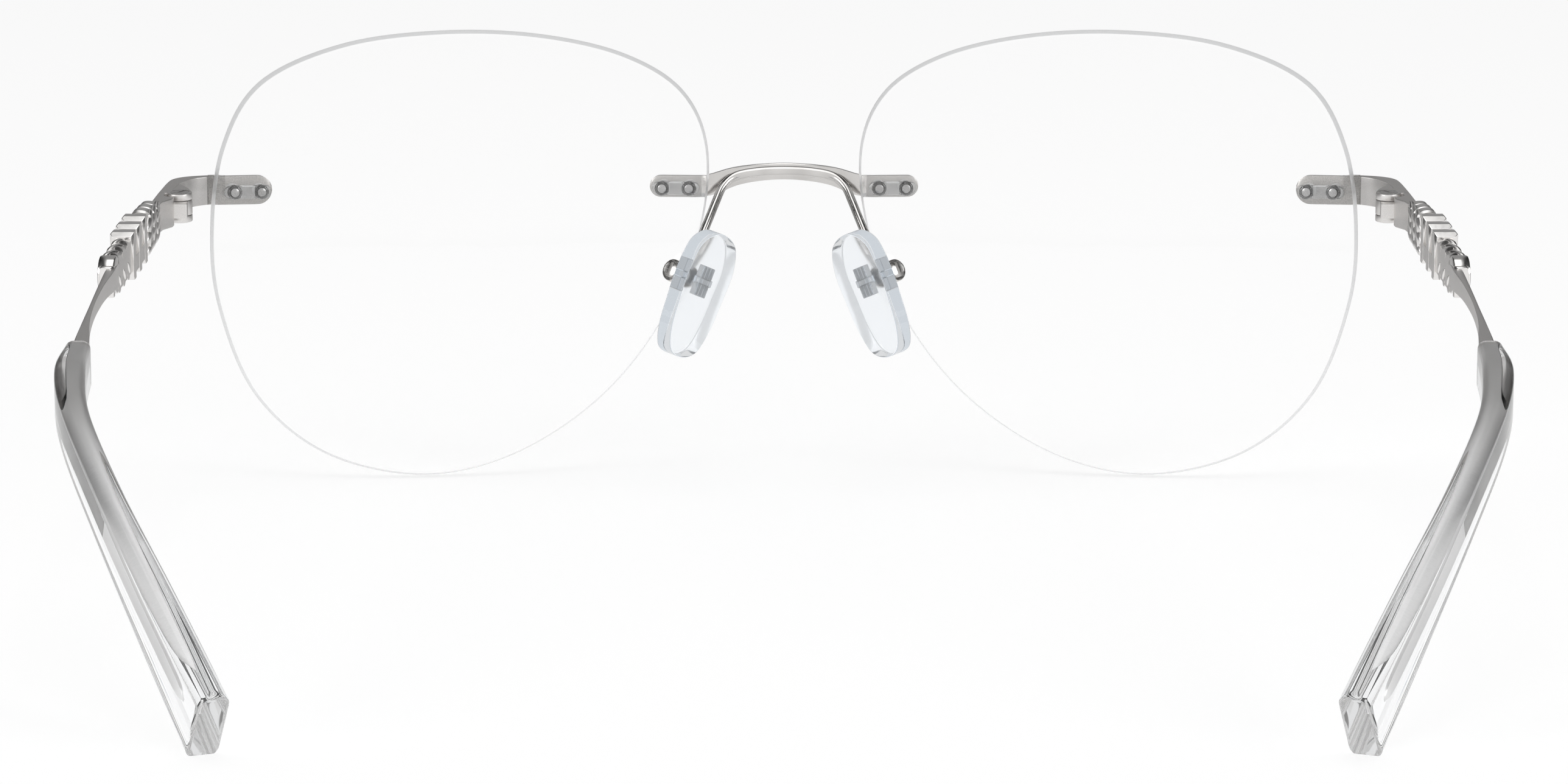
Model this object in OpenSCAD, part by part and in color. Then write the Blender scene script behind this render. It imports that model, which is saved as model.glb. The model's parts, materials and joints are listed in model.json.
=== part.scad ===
// Rimless eyeglasses with drilled lenses, a wire nose bridge and folding temples.
// Everything is drawn as worn, with +X to the wearer's right and +Y forward, and is then
// tipped back a little so that it stands on a table on its lenses and its temple tips.
// One half is drawn, on the wearer's right, and mirrored for the left.

/* [Lenses] */
// Width of one lens, box measure
lens_w = 55.8; // [52:0.2:58]
// Height of one lens, box measure
lens_h = 49.6; // [46:0.2:52]
// Gap between the two lenses at their widest points
nose_gap = 16.4; // [15:0.2:18]
// Thickness of a lens
lens_t = 2.0; // [1.6:0.1:2.4]
// Radius of the hollow back face of a lens
lens_r = 135; // [120:5:160]
// Backward turn of each lens about its upright axis
wrap = 5; // [3:0.5:6]
// Forward lean of the lens tops against the temples
lean = 8; // [6:0.5:10]

/* [Drilled mounts] */
// Distance between the two pins of a mount
pin_gap = 3.0; // [2.8:0.1:3.2]
// Diameter of a mounting pin
pin_d = 1.0; // [0.8:0.1:1.1]
// Outer diameter of the clear sleeve round a pin
sleeve_d = 1.6; // [1.5:0.1:1.8]
// Thickness of the metal plates on the lens fronts
plate_t = 0.85; // [0.7:0.05:1]
// Height of the plates at the temples
end_plate_h = 3.2; // [2.8:0.1:3.4]
// Height of the plates at the nose
nose_plate_h = 2.4; // [2.2:0.1:2.8]

/* [Bridge and nose pads] */
// Thickness of the pad arm wire
wire_d = 0.95; // [0.8:0.05:1.1]
// Length of a nose pad
pad_l = 14.2; // [13:0.2:15]
// Width of a nose pad
pad_w = 8.0; // [7:0.2:8.4]
// Thickness of a nose pad
pad_t = 2.2; // [1.8:0.1:2.4]
// Turn of the pad faces towards the rear
pad_splay = 35; // [28:1:38]
// Tilt of the pad tops towards each other
pad_flare = 21; // [16:1:24]
// Lean of the pad tops towards the front
pad_lean = 14; // [8:1:16]

/* [Hinges and temples] */
// Diameter of the hinge knuckles
knuckle_d = 2.8; // [2.6:0.1:3]
// Diameter of the hinge screw's shank
hinge_pin_d = 1.2; // [1:0.1:1.4]
// Height of the end piece and of the hinge
hinge_h = 3.2; // [3:0.1:3.4]
// Outward turn of the straight part of a temple
temple_splay = 3.6; // [3:0.2:4]
// Thickness of the temple strip in the straight part
strip_t = 0.9; // [0.8:0.05:1]
// Height of the temple strip in the straight part
strip_h = 2.6; // [2.4:0.1:2.8]
// Tip of the whole pair when it stands on a table
stand_pitch = 3.2; // [3:0.1:3.6]

/* [Hidden] */
$fn = 48;

// Clearances
run_gap = 0.03;
face_gap = 0.15;

// Lens outline on the front face: [outwards from the nose, up] from the lens centre
lens_points = [[27.8, 2.5], [26.6, 12], [22.4, 19.3], [13.2, 23.4], [2, 24.8], [-9.2, 24.4],
    [-18.9, 22.2], [-25.4, 18], [-28, 11], [-26.6, 1], [-21.6, -9.3], [-14.5, -17.3],
    [-5, -23], [5, -24.8], [15.4, -22.2], [23, -15.6], [26.9, -6]];
drawn_w = 55.8;
drawn_h = 49.6;
lens_x = (nose_gap + lens_w) / 2;
lens_front_r = lens_r + lens_t;

// Middle of each pair of pins, from the lens centre
nose_pins = [-24, 7.25];
end_pins = [23.5, 7.1];
pin_inset = 1.6;
pin_back = 0.9;
sleeve_back = 1.15;
flange_l = 5.4;
flange_h = 1.7;
flange_t = 0.6;
saddle_w = 1.5;
saddle_h = 1.4;

// Hinge, as worn
hinge_x = 66.2;
hinge_y = -10.1;
hinge_top = 9.0;
outer_knuckle_h = 0.75;
screw_head_d = 2.1;
screw_head_h = 0.3;
slot_w = 0.35;

// Straight part of the temple, as worn
temple_front = [68.2, -14, 7.55];
straight_l = 32;

// Nose pad pivot, as worn
pad_pivot = [11.8, -5.5, -1.0];
pad_back = 2.6;
pad_drop = 1.5;
pad_rear = 0.6;
box_d = 2.5;
box_w = 2.3;
tab_t = 1.0;
tab_r = 0.8;
pad_pin_d = 0.9;
pad_head_d = 1.7;
pad_head_h = 0.3;

// Bridge bar: [x, forward, up, depth, height] from its middle to a plate, in the lean of the lenses
bridge_half = [[0, 3.75, 8.85, 1.2, 1.8], [3, 3.45, 8.7, 1.2, 1.85], [5.6, 2.8, 8.3, 1.1, 2.0],
    [8, 2.2, 7.5, 0.95, 2.3], [9.6, 1.95, 7.25, 0.8, 2.35]];
// Pad arm wire: [x, forward, up] from its middle to the pad box, as worn
wire_half = [[0, 3.7, 8.6], [3, 3.45, 8.5], [5.4, 2.9, 8.1], [6.8, 1.9, 7.1], [7.6, 0.5, 5.6],
    [8.4, -1.1, 3.9], [9.3, -2.7, 2.1], [10.5, -4.3, 0.4], [11.8, -5.5, -1.0]];

// End piece seen from above, as worn: its outer and its inner side
stem_outer = [[62.4, -1.1], [63.8, -1.45], [65.8, -2], [67.3, -3.1], [67.9, -5], [68.5, -10.2]];
stem_inner = [[67, -10.2], [66.9, -8], [66.5, -5.6], [65.4, -3.5], [63.8, -2.3], [62.4, -1.85]];
// Rise of the end piece from the hinge to the lens
stem_rise = 1.0;
// Front block of the temple seen from above, as worn
block_points = [[68.5, -10.35], [69, -17], [68, -17], [67.6, -15], [66.7, -13.5], [66.6, -12.6],
    [67.75, -12], [67.75, -10.35]];

// Temple strip behind the ornament and its core in the tip: [x, y, z, thickness, height], as worn
strip_points = [[70.25, -50, 7.9, 0.95, 2.2], [70.45, -55.5, 8.1, 0.65, 1.8], [70.55, -61, 8.2, 0.5, 1.6],
    [70.55, -67, 8.3, 0.5, 1.45], [70.45, -74, 8.3, 0.8, 1.4], [70.1, -82, 8.3, 1.5, 1.4],
    [69.95, -88, 8.1, 1.5, 1.6], [69.6, -96, 7.4, 1.4, 2.0], [68, -105.5, 5.1, 1.3, 2.2],
    [63.7, -117, 0.3, 1.2, 2.0], [58.8, -129.5, -6.2, 1.1, 1.7], [56.3, -135.4, -9.5, 1.1, 1.5]];
core_point = [55.8, -136.6, -10.2, 0.3, 0.4];
// Temple tip: [x, y, z, thickness, height], as worn
tip_points = [[70.2, -84.5, 7.1, 2.5, 5.2], [70, -95, 7, 3.2, 5.6], [68.3, -105, 5, 3.1, 6],
    [63.8, -117, 0.2, 3, 6.2], [58.8, -129.5, -6.2, 3.2, 6.4], [53.3, -142.2, -14.3, 2.8, 7.4]];
tip_round = 0.5;

// Ornament, measured along the straight part of the temple: [distance, height]
cords = [[4.8, 4.2], [7.4, 4.6], [10, 4.9]];
step_plates = [[13.6, 5.2], [17.6, 5.2], [21.6, 5.2]];
cord_d = 1.9;
cord_lean = 10;
cord_in = 0.75;
strand_lean = 30;
braid_at = [24, 27.1, 30.2];
braid_turn = 28;
plate_l = 1.7;
plate_out = 1.85;
collar_at = 32.4;
collar_d = 4.0;
ornament_from = 3.6;

// Point on a smooth curve between b and c, with neighbours a and d
function between(a, b, c, d, u) = 0.5 * (2 * b + (c - a) * u
    + (2 * a - 5 * b + 4 * c - d) * u * u + (3 * b - a - 3 * c + d) * u * u * u);
function closed_curve(p, n) = [for (i = [0 : len(p) - 1]) for (k = [0 : n - 1])
    between(p[(i + len(p) - 1) % len(p)], p[i], p[(i + 1) % len(p)], p[(i + 2) % len(p)], k / n)];
function open_curve(p, n) = let (q = concat([2 * p[0] - p[1]], p, [2 * p[len(p) - 1] - p[len(p) - 2]]))
    concat([for (i = [1 : len(p) - 1]) for (k = [0 : n - 1])
        between(q[i - 1], q[i], q[i + 1], q[i + 2], k / n)], [p[len(p) - 1]]);
function unit(v) = v / norm(v);
function flip_x(v) = [for (i = [0 : len(v) - 1]) i == 0 ? -v[i] : v[i]];
function both_sides(half) = concat([for (i = [len(half) - 1 : -1 : 1]) flip_x(half[i])], half);

// Outline of a rectangle with rounded corners, as [sideways, up]; corner 1 gives an oval
function oval(w, h, n) = [for (k = [0 : n - 1]) [w / 2 * cos(360 * k / n), h / 2 * sin(360 * k / n)]];
function rounded(w, h, r, steps) = [for (q = [0 : 3]) for (k = [0 : steps]) let (a = 90 * (q + k / steps))
    [(q == 0 || q == 3 ? 1 : -1) * (w / 2 - r) + r * cos(a), (q < 2 ? 1 : -1) * (h / 2 - r) + r * sin(a)]];
function ring(w, h, corner, steps) = corner == 1 ? oval(w, h, 4 * steps)
    : rounded(w, h, corner * min(w, h) / 2, steps);

// Solid through rounded rectangles set square to a path of [x, y, z, width, height]
module swept(path, corner, steps) {
    last = len(path) - 1;
    place = [for (s = path) [s[0], s[1], s[2]]];
    rings = [for (i = [0 : last])
        let (t = unit(place[min(i + 1, last)] - place[max(i - 1, 0)]),
             side = unit(cross(t, [0, 0, 1])), up = cross(side, t),
             w = path[i][3], h = path[i][4])
        [for (c = ring(w, h, corner, steps)) place[i] + side * c[0] + up * c[1]]];
    m = len(rings[0]);
    sides = [for (i = [0 : last - 1]) for (j = [0 : m - 1])
        let (a = i * m + j, b = i * m + (j + 1) % m) each [[a, b, a + m], [b, b + m, a + m]]];
    polyhedron([for (r = rings) each r], concat([[for (j = [m - 1 : -1 : 0]) j]], sides,
        [[for (j = [0 : m - 1]) last * m + j]]));
}

// Round wire along a path of points
module wire(path, d) {
    swept([for (p = path) [p[0], p[1], p[2], d, d]], 1, 3);
}

// A station of a swept solid drawn in by a margin on every side
function drawn_in(s, margin) = [s[0], s[1], s[2], s[3] - 2 * margin, s[4] - 2 * margin];

// Places

// Heights of the tipped lens outline; the lowest one is put on the table
lens_low = [for (p = closed_curve(lens_points, 6)) let (q = lens_edge(p)) q[2]];
table_drop = min(lens_low);
standing_mid = 68.9;

// A point of the lens outline, on the front face, after every turn of the lens
function turned_x(v, a) = [v[0], v[1] * cos(a) - v[2] * sin(a), v[1] * sin(a) + v[2] * cos(a)];
function turned_z(v, a) = [v[0] * cos(a) - v[1] * sin(a), v[0] * sin(a) + v[1] * cos(a), v[2]];
function lens_edge(p) = turned_x(turned_z([p[0] * lens_w / drawn_w,
    sqrt(pow(lens_front_r, 2) - p[0] * p[0] - p[1] * p[1]) - lens_r, p[1] * lens_h / drawn_h], -wrap)
    + [lens_x, 0, 0], stand_pitch - lean);

// From worn to standing on the table
module standing() {
    translate([0, standing_mid, -table_drop]) rotate([stand_pitch, 0, 0]) children();
}

// side is 1 for the wearer's right and -1 for the left
module half(side) {
    standing() mirror([side < 0 ? 1 : 0, 0, 0]) children();
}

module leaning() {
    rotate([-lean, 0, 0]) children();
}

// Lens centre, with the lens axis along +Y
module at_lens() {
    leaning() translate([lens_x, 0, 0]) rotate([0, 0, -wrap]) children();
}

// A point of the lens's back face, with +Y square to the face
module on_lens(pins) {
    up = asin(pins[1] / lens_r);
    out = -asin(pins[0] / (lens_r * cos(up)));
    translate([0, -lens_r, 0]) rotate([up, 0, out]) translate([0, lens_r, 0]) children();
}

// The hinge line at the foot of the end piece, with +Z along the hinge
module at_hinge() {
    translate([hinge_x, hinge_y, hinge_top - hinge_h]) children();
}

// The straight part of the temple, with -Y along it
module on_temple() {
    translate(temple_front) rotate([0, 0, temple_splay]) children();
}

// The nose pad's pivot, with the contact face towards -X and the pad's length along Z
module at_pad() {
    translate(pad_pivot) rotate([-pad_lean, 0, 0]) rotate([0, -pad_flare, 0]) rotate([0, 0, pad_splay])
        children();
}

// A cylinder along +Y from one depth to another
module along_y(d, from, to) {
    translate([0, from, 0]) rotate([-90, 0, 0]) cylinder(d = d, h = to - from);
}

module ball(r) {
    translate([0, -lens_r, 0]) sphere(r, $fn = 240);
}

module at_pins() {
    for (s = [-1, 1]) translate([s * pin_gap / 2, 0, 0]) children();
}

// A plate with round ends, from one depth to another
module stadium(l, h, from, to) {
    translate([0, to, 0]) rotate([90, 0, 0]) linear_extrude(to - from) {
        square([l - h, h], center = true);
        for (s = [-1, 1]) translate([s * (l - h) / 2, 0]) circle(d = h);
    }
}

// Lenses

module lens() {
    ahead = 4;
    depth = 12;
    size = [lens_w / drawn_w, lens_h / drawn_h];
    outline = [for (p = closed_curve(lens_points, 6)) let (q = [p[0] * size[0], p[1] * size[1]])
        q * (lens_r + ahead) / sqrt(pow(lens_front_r, 2) - q * q)];
    color("whitesmoke", 0.4) difference() {
        intersection() {
            ball(lens_front_r);
            translate([0, ahead, 0]) rotate([90, 0, 0])
                linear_extrude(depth, scale = (lens_r + ahead - depth) / (lens_r + ahead)) polygon(outline);
        }
        ball(lens_r);
        for (p = [nose_pins, end_pins]) on_lens(p) at_pins() along_y(sleeve_d, -2, lens_t + 2);
    }
}

// Clear twin sleeve that grips a pair of pins in a lens
module bushing(pins) {
    skin = 0.03;
    color("gainsboro", 0.6) at_lens() on_lens(pins) difference() {
        union() {
            stadium(flange_l, flange_h, -flange_t - skin, -skin);
            translate([-saddle_w / 2, -sleeve_back, -saddle_h / 2])
                cube([saddle_w, sleeve_back - skin, saddle_h]);
            at_pins() along_y(sleeve_d, -sleeve_back, lens_t - skin);
        }
        at_pins() along_y(pin_d, -2, lens_t + 2);
    }
}

// Plate on the lens front with its two pins; reach runs on past the outer pin
module lens_plate(pins, h, reach) {
    away = sign(pins[0]);
    end_x = -away * (pin_gap / 2 + pin_inset);
    on_lens(pins) {
        difference() {
            translate([0, lens_t + plate_t, 0]) rotate([90, 0, 0]) linear_extrude(plate_t + 0.3) {
                translate([end_x + away * h / 2, 0]) circle(d = h);
                translate([away > 0 ? end_x + h / 2 : -reach, -h / 2])
                    square([reach + abs(end_x) - h / 2, h]);
            }
            ball(lens_front_r);
        }
        at_pins() along_y(pin_d, -pin_back, lens_t + plate_t / 2);
    }
}

// Bridge

module bridge() {
    color("silver") standing() {
        leaning() swept(open_curve(both_sides(bridge_half), 4), 0.5, 2);
        for (s = [0, 1]) mirror([s, 0, 0]) at_lens() lens_plate(nose_pins, nose_plate_h, 3.6);
    }
}

module pad_arm_wire() {
    color("silver") standing() difference() {
        wire(open_curve(both_sides(wire_half), 3), wire_d);
        for (s = [0, 1]) mirror([s, 0, 0]) at_pad() along_y(box_d, -box_w / 2, box_w / 2);
    }
}

// Hinges

module knuckle(from, to) {
    at_hinge() translate([0, 0, from]) cylinder(d = knuckle_d, h = to - from);
}

module end_piece() {
    top = hinge_h - outer_knuckle_h;
    color("silver") difference() {
        union() {
            at_lens() lens_plate(end_pins, end_plate_h, 4.4);
            translate([0, hinge_y, hinge_top - hinge_h]) rotate([stem_rise, 0, 0])
                translate([0, -hinge_y, 0]) linear_extrude(hinge_h)
                    polygon(concat(open_curve(stem_outer, 4), open_curve(stem_inner, 4)));
            for (z = [0, top]) {
                knuckle(z, z + outer_knuckle_h);
                at_hinge() translate([0, -0.1, z]) cube([1.2, knuckle_d / 2, outer_knuckle_h]);
            }
        }
        at_hinge() {
            translate([0, 0, outer_knuckle_h])
                cylinder(d = knuckle_d + 2 * face_gap, h = top - outer_knuckle_h);
            translate([0, 0, -1]) cylinder(d = hinge_pin_d, h = hinge_h + 2);
            translate([0, 0, hinge_h - screw_head_h]) cylinder(d = screw_head_d, h = 1);
        }
    }
}

module hinge_screw() {
    color("gainsboro") at_hinge() difference() {
        union() {
            cylinder(d = hinge_pin_d, h = hinge_h);
            translate([0, 0, hinge_h - screw_head_h]) cylinder(d = screw_head_d, h = screw_head_h);
        }
        translate([-screw_head_d, -slot_w / 2, hinge_h - screw_head_h / 2])
            cube([2 * screw_head_d, slot_w, screw_head_h]);
    }
}

// Temples

// Strip behind the ornament with the core that runs on into the tip
function strip_path() = let (a = temple_splay, l = straight_l - 1)
    concat(open_curve(concat([[temple_front[0] + l * sin(a), temple_front[1] - l * cos(a), temple_front[2],
        strip_t, strip_h]], strip_points), 4), [core_point]);

module temple() {
    color("silver") difference() {
        union() {
            translate([0, 0, hinge_top - hinge_h]) linear_extrude(hinge_h) polygon(block_points);
            knuckle(outer_knuckle_h + run_gap, hinge_h - outer_knuckle_h - run_gap);
            at_hinge() translate([-0.2, -3, outer_knuckle_h + run_gap])
                cube([1.6, 3, hinge_h - 2 * outer_knuckle_h - 2 * run_gap]);
            on_temple() translate([-strip_t / 2, -straight_l, -strip_h / 2])
                cube([strip_t, straight_l, strip_h]);
            swept(strip_path(), 0.25, 1);
        }
        at_hinge() translate([0, 0, -1]) cylinder(d = hinge_pin_d + 2 * run_gap, h = hinge_h + 2);
    }
}

// Drawn-out ball of [thickness, length, height]
module leaf(place, size, turn) {
    translate(place) rotate(turn) scale(size) sphere(d = 1, $fn = 16);
}

// Cord round the temple, with slanted strands on its inner side
module cord(at, h) {
    translate([0.15, -at, 0]) rotate([cord_lean, 0, 0]) {
        scale([1.15, 1, 1]) cylinder(d = cord_d, h = h - cord_d, center = true, $fn = 24);
        for (s = [-1, 1]) translate([0, 0, s * (h - cord_d) / 2])
            scale([1.15, 1, 1]) sphere(d = cord_d, $fn = 24);
    }
    for (row = [-1 : 1]) leaf([-0.42, -at - 0.2, row * 0.27 * h], [0.8, 3.3, 1.1], [strand_lean, 0, 0]);
}

// One row of the braid: a pair of crossing leaves on the top and on the underside
module braid_row(at) {
    for (s = [-1, 1]) {
        leaf([0, -at, 1.45 * s], [1.2, 3.6, 1.25], [0, 0, -braid_turn]);
        leaf([0.7, 1.5 - at, 1.4 * s], [1.15, 3.4, 1.25], [0, 0, braid_turn]);
    }
}

// Step plate with chamfered edges
module step_plate(at, h) {
    w = plate_out + strip_t / 2;
    translate([plate_out - w / 2, -at, 0]) hull() {
        cube([w, plate_l - 0.6, h - 0.6], center = true);
        cube([w - 0.6, plate_l, h - 0.6], center = true);
        cube([w - 0.6, plate_l - 0.6, h], center = true);
    }
}

// Cords, three step plates, a braid and an end collar, cast in one piece. Behind the cords it is flush
// with the strip's inner side.
module temple_ornament() {
    inner = -strip_t / 2;
    core_w = 1.4;
    core_h = 3.6;
    flush_from = 12;
    color("silver") on_temple() difference() {
        union() {
            translate([inner, -collar_at, -core_h / 2]) cube([core_w, collar_at - ornament_from, core_h]);
            for (c = cords) cord(c[0], c[1]);
            for (p = step_plates) step_plate(p[0], p[1]);
            for (at = braid_at) braid_row(at);
            translate([inner, -collar_at, 0.3]) rotate([0, 90, 0]) cylinder(d = collar_d, h = core_w);
        }
        translate([-cord_in - 2, -flush_from, -4]) cube([2, flush_from, 8]);
        translate([inner - 2, -collar_at, -4]) cube([2, collar_at - flush_from, 8]);
        translate([inner - 0.05, -collar_at, -strip_h / 2]) cube([strip_t + 0.05, collar_at, strip_h]);
        translate([inner - 0.05, -collar_at - 5, -strip_h / 2]) cube([strip_t + 0.05, 6, strip_h + 0.2]);
    }
}

// Clear tip over the core, with a flat foot where it stands on the table
module temple_tip(side) {
    curve = open_curve(tip_points, 6);
    n = len(curve);
    first = drawn_in(curve[0], tip_round);
    last = drawn_in(curve[n - 1], tip_round);
    body = concat([first, 0.8 * curve[0] + 0.2 * curve[1]], [for (i = [1 : n - 2]) curve[i]],
        [0.8 * curve[n - 1] + 0.2 * curve[n - 2], last]);
    color("gainsboro", 0.5) difference() {
        half(side) difference() {
            swept(body, 0.7, 4);
            swept(strip_path(), 0.25, 1);
        }
        translate([-100, -100, -10]) cube([200, 200, 10]);
    }
}

// Nose pads

// Pad outline seen from the nose: [forward, up]
pad_points = [[0.02, 0.5], [0.34, 0.44], [0.5, 0.25], [0.5, 0], [0.47, -0.22], [0.36, -0.42], [0.1, -0.5],
    [-0.22, -0.48], [-0.4, -0.32], [-0.47, -0.08], [-0.5, 0.14], [-0.44, 0.36], [-0.24, 0.47]];

module pad_slice(x, grow) {
    size = [pad_w + 2 * grow, pad_l + 2 * grow];
    translate([x, -pad_rear, -pad_drop]) rotate([90, 0, 90]) linear_extrude(0.05)
        polygon([for (p = closed_curve(pad_points, 4)) [p[0] * size[0], p[1] * size[1]]]);
}

module nose_pad() {
    front = -pad_back - pad_t;
    color("aliceblue", 0.7) at_pad() difference() {
        hull() {
            pad_slice(front, -0.5);
            pad_slice(front + 0.3, -0.15);
            pad_slice(front + 0.8, 0);
            pad_slice(front + 1.4, -0.1);
            pad_slice(-pad_back - 0.05, -0.8);
        }
        insert_lug();
    }
}

// Part of the insert that is moulded into the pad
module insert_lug() {
    translate([-pad_back - 1.2, -1.0, -1.7]) cube([1.2, 2.0, 3.4]);
}

module pad_insert() {
    color("gainsboro") at_pad() difference() {
        union() {
            insert_lug();
            along_y(2 * tab_r, -tab_t / 2, tab_t / 2);
            translate([-pad_back, -tab_t / 2, -tab_r]) cube([pad_back, tab_t, 2 * tab_r]);
        }
        along_y(pad_pin_d + 2 * run_gap, -2, 2);
    }
}

module pad_box() {
    slot = tab_t + 2 * face_gap;
    web = box_d / 2 - 0.3;
    color("silver") at_pad() difference() {
        along_y(box_d, -box_w / 2, box_w / 2);
        translate([web - box_d, -slot / 2, -box_d]) cube([box_d, slot, 2 * box_d]);
        along_y(pad_pin_d, -2, 2);
    }
}

module pad_screw() {
    color("gainsboro") at_pad() difference() {
        union() {
            along_y(pad_pin_d, -box_w / 2 - pad_head_h / 2, box_w / 2);
            along_y(pad_head_d, -box_w / 2 - pad_head_h, -box_w / 2);
        }
        translate([-slot_w / 2, -box_w / 2 - 2 * pad_head_h, -pad_head_d])
            cube([slot_w, 1.5 * pad_head_h, 2 * pad_head_d]);
    }
}

// Joint lines on the table, for the record
hinge_at = turned_x([hinge_x, hinge_y, hinge_top], stand_pitch) + [0, standing_mid, -table_drop];
pad_at = turned_x(pad_pivot, stand_pitch) + [0, standing_mid, -table_drop];
pad_line = turned_x(turned_x(turned_y(turned_z([0, 1, 0], pad_splay), -pad_flare), -pad_lean), stand_pitch);
function turned_y(v, a) = [v[0] * cos(a) + v[2] * sin(a), v[1], -v[0] * sin(a) + v[2] * cos(a)];
echo(hinge = hinge_at, hinge_axis = turned_x([0, 0, 1], stand_pitch), pad = pad_at, pad_axis = pad_line);

half(-1) at_lens() lens();  // lens_left
half(1) at_lens() lens();  // lens_right
bridge();
pad_arm_wire();
half(-1) bushing(nose_pins);  // bushing_nasal_left
half(1) bushing(nose_pins);  // bushing_nasal_right
half(-1) bushing(end_pins);  // bushing_temporal_left
half(1) bushing(end_pins);  // bushing_temporal_right
half(-1) end_piece();  // end_piece_left
half(1) end_piece();  // end_piece_right
half(-1) hinge_screw();  // hinge_screw_left
half(1) hinge_screw();  // hinge_screw_right
half(-1) temple();  // temple_left
half(1) temple();  // temple_right
half(-1) temple_ornament();  // temple_ornament_left
half(1) temple_ornament();  // temple_ornament_right
temple_tip(-1);  // temple_tip_left
temple_tip(1);  // temple_tip_right
half(-1) nose_pad();  // nose_pad_left
half(1) nose_pad();  // nose_pad_right
half(-1) pad_insert();  // pad_insert_left
half(1) pad_insert();  // pad_insert_right
half(-1) pad_box();  // pad_box_left
half(1) pad_box();  // pad_box_right
half(-1) pad_screw();  // pad_screw_left
half(1) pad_screw();  // pad_screw_right
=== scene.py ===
# %% [markdown]
# A pair of rimless eyeglasses, dressed for the camera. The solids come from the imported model, which
# holds every size and joint. This script keeps their places, remodels each piece with finer edges,
# and gives it the finish of the real thing: blasted and polished metal, clear lenses, clear tips.

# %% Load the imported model
import json
import math

import bmesh
import bpy
import numpy as np
from mathutils import Matrix, Vector


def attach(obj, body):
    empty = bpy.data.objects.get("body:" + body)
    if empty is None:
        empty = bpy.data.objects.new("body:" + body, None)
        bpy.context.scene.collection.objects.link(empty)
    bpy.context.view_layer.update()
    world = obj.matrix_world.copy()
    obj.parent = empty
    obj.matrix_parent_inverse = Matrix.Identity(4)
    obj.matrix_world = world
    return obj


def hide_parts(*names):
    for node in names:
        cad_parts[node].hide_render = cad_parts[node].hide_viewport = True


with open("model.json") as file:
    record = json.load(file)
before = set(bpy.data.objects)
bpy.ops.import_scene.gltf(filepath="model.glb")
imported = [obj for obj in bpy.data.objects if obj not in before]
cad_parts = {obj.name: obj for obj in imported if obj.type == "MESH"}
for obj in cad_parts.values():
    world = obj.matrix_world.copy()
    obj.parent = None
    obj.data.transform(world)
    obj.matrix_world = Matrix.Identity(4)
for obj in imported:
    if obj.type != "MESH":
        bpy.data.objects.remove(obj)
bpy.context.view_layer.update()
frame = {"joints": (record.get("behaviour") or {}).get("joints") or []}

# %% [markdown]
# Opticians measure glasses as they are worn, with the temples level. Here the pair stands on a table,
# tipped a little, because the lenses and the tips touch it. All shapes below are drawn in worn
# millimetres and brought to the table by one matrix. The matrix is read from the right hinge, whose
# axis is upright when the glasses are worn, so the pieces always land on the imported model.

# %% From worn millimetres to the table
hinge_joint = next(j for j in frame["joints"] if j["name"] == "fold_right")
HINGE_TOP = Vector((66.2, -10.1, 9.0))
tip_back = math.atan2(hinge_joint["axis"][1], -hinge_joint["axis"][2])
tipped = Matrix.Rotation(tip_back, 4, "X")
lift = Vector(hinge_joint["pos_m"]) * 1000 - tipped @ HINGE_TOP
STAND = Matrix.Scale(0.001, 4) @ Matrix.Translation(lift) @ tipped
print("tipped", round(math.degrees(tip_back), 2), "degrees, moved", [round(v, 2) for v in lift], "mm")

# %% [markdown]
# The photograph looks at the pair from behind and above, from far away with a long lens, so the two
# temples hardly spread. The camera is placed in worn millimetres too, and its 165 mm lens on a 36 mm
# sensor gives the same narrow view.

# %% Camera
scene = bpy.context.scene


def in_scene(name, data):
    """A new object at the origin, linked to the scene."""
    thing = bpy.data.objects.new(name, data)
    scene.collection.objects.link(thing)
    return thing


CAMERA_DOWN = math.radians(13.5)
camera_data = bpy.data.cameras.new("studio_camera")
camera_data.sensor_fit = "HORIZONTAL"
camera_data.sensor_width = 36.0
camera_data.lens = 165.24
camera_data.clip_end = 20.0
camera = in_scene("studio_camera", camera_data)
camera.matrix_world = (Matrix.Translation(STAND @ Vector((0.0, -781.5, 171.7)))
                       @ tipped @ Matrix.Rotation(math.pi / 2 - CAMERA_DOWN, 4, "X"))
scene.camera = camera
print("camera at", [round(v, 3) for v in camera.matrix_world.translation])

# %% [markdown]
# Floor, world and finishes are all built from the same few kinds of nodes. Making and linking each one
# by hand takes five lines, so a few helpers do it in one. A value given to them can be a plain number
# or the output of another node.


# %% Nodes in short
def give(tree, entry, value):
    """Let an input follow a socket, or set it to a plain value."""
    if isinstance(value, bpy.types.NodeSocket):
        tree.links.new(value, entry)
    else:
        entry.default_value = value


def feed(tree, node, **values):
    """Give a node's inputs, by their labels, sockets or plain values."""
    for label, value in values.items():
        give(tree, node.inputs[label], value)


def calc(tree, operation, *values):
    """A Math node on sockets or plain numbers."""
    node = tree.nodes.new("ShaderNodeMath")
    node.operation = operation
    for entry, value in zip(node.inputs, values):
        give(tree, entry, value)
    return node.outputs[0]


def blended(tree, kind, factor, first, second):
    """A Mix node between two numbers (FLOAT) or two colours (RGBA)."""
    node = tree.nodes.new("ShaderNodeMix")
    node.data_type = kind
    feed(tree, node, Factor=factor, A=first, B=second)
    return node.outputs["Result"]


def ramp(tree, socket, start, stop, low, high, kind="SMOOTHSTEP"):
    """A change from low to high while a socket goes from start to stop."""
    node = tree.nodes.new("ShaderNodeMapRange")
    node.interpolation_type = kind
    feed(tree, node, **{"Value": socket, "From Min": start, "From Max": stop, "To Min": low,
                        "To Max": high})
    return node.outputs["Result"]


def mixed(tree, factor, first, second):
    """A Mix Shader between two shaders."""
    node = tree.nodes.new("ShaderNodeMixShader")
    for entry, value in zip(node.inputs, (factor, first, second)):
        give(tree, entry, value)
    return node.outputs[0]


print("helpers:", [f.__name__ for f in (feed, calc, blended, ramp, mixed)])

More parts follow.
